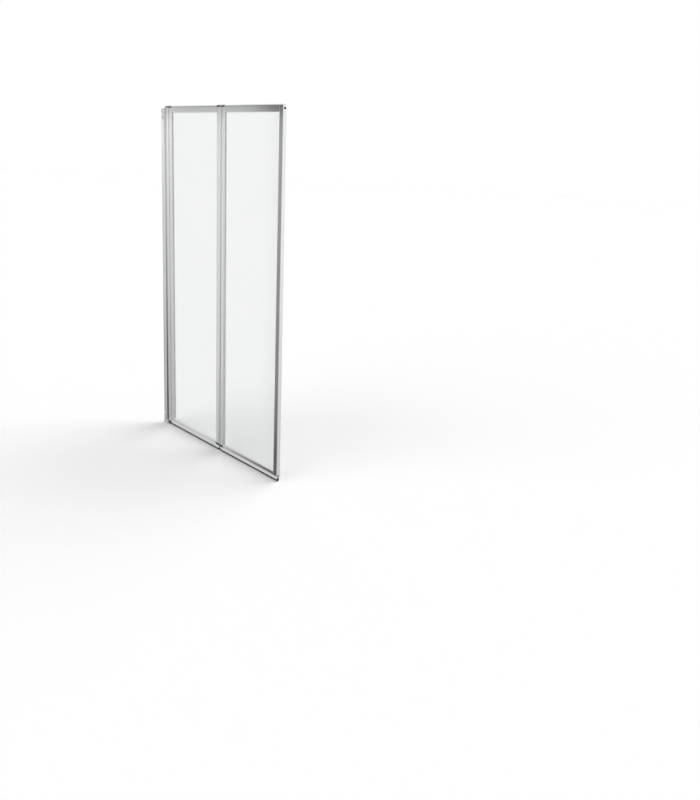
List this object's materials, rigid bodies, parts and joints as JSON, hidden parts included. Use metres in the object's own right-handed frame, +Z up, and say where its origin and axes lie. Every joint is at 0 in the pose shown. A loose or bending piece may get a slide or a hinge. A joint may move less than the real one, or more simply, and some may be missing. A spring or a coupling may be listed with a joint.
{
  "type": "folding bath screen",
  "caption": "Folding bath screen: framed glass panels hinged to a wall profile and to each other, with a rubber bulb seal that rests on the bath rim.",
  "frame": {"origin": "on the wall, at the back face of the wall profile, in the middle of the screen's thickness and at the level of the bath rim", "axes": "+X along the rim away from the wall, +Y over the bath, +Z up"},
  "size_m": [0.93, 0.0328, 1.4],
  "materials": {
    "frame_aluminium": "satin",
    "carrier_aluminium": "satin",
    "light_plastic": "matte",
    "dark_plastic": "matte",
    "grey_plastic": "matte",
    "panes": "clear",
    "gasket_rubber": "matte",
    "seal_rubber": "matte",
    "screw_steel": "satin",
    "dark_steel": "matte",
    "washer_plastic": "matte"
  },
  "bodies": {
    "wall_side": {"wall_profile": "frame_aluminium", "wall_profile_cap": "light_plastic", "wall_foot": "light_plastic", "hinge_post": "frame_aluminium", "lock_screws": "screw_steel", "screw_covers": "light_plastic", "top_bracket": "grey_plastic", "bottom_bracket": "light_plastic", "post_foot": "dark_plastic", "bracket_screws": "screw_steel"},
    "panel_1": {"panel_1_left_stile": "frame_aluminium", "panel_1_right_stile": "frame_aluminium", "panel_1_top_rail": "frame_aluminium", "panel_1_bottom_rail": "frame_aluminium", "panel_1_glass": "panes", "panel_1_gasket": "gasket_rubber", "panel_1_top_left_block": "dark_plastic", "panel_1_top_right_block": "dark_plastic", "panel_1_bottom_left_block": "light_plastic", "panel_1_bottom_right_block": "dark_plastic", "panel_1_block_screws": "screw_steel", "panel_1_pivot_bolts": "screw_steel", "panel_1_pivot_washers": "washer_plastic", "panel_1_seal_carrier": "carrier_aluminium", "panel_1_bottom_seal": "seal_rubber", "panel_1_carrier_plugs": "light_plastic"},
    "mid_hinge": {"mid_post": "frame_aluminium", "mid_link_top": "grey_plastic", "mid_link_bottom": "dark_plastic", "mid_post_screws": "screw_steel"},
    "panel_2": {"panel_2_left_stile": "frame_aluminium", "panel_2_right_stile": "frame_aluminium", "panel_2_top_rail": "frame_aluminium", "panel_2_bottom_rail": "frame_aluminium", "panel_2_glass": "panes", "panel_2_gasket": "gasket_rubber", "panel_2_top_left_block": "dark_plastic", "panel_2_top_right_block": "frame_aluminium", "panel_2_bottom_left_block": "dark_plastic", "panel_2_bottom_right_block": "frame_aluminium", "panel_2_end_cap": "dark_plastic", "panel_2_block_screws": "screw_steel", "panel_2_edge_screw": "dark_steel", "panel_2_pivot_bolts": "screw_steel", "panel_2_pivot_washers": "washer_plastic", "panel_2_seal_carrier": "carrier_aluminium", "panel_2_bottom_seal": "seal_rubber", "panel_2_carrier_plugs": "light_plastic"}
  },
  "joints": [
    {"name": "wall_hinge", "type": "hinge", "parent": "wall_side", "child": "panel_1", "pos_m": [0.0635, 0, 0], "axis": [0, 0, 1], "range_deg": [0, 90]},
    {"name": "mid_pivot_1", "type": "hinge", "parent": "panel_1", "child": "mid_hinge", "pos_m": [0.481, 0, 0], "axis": [0, 0, -1], "range_deg": [0, 90]},
    {"name": "mid_pivot_2", "type": "hinge", "parent": "mid_hinge", "child": "panel_2", "pos_m": [0.505, 0, 0], "axis": [0, 0, -1], "range_deg": [0, 90]}
  ]
}
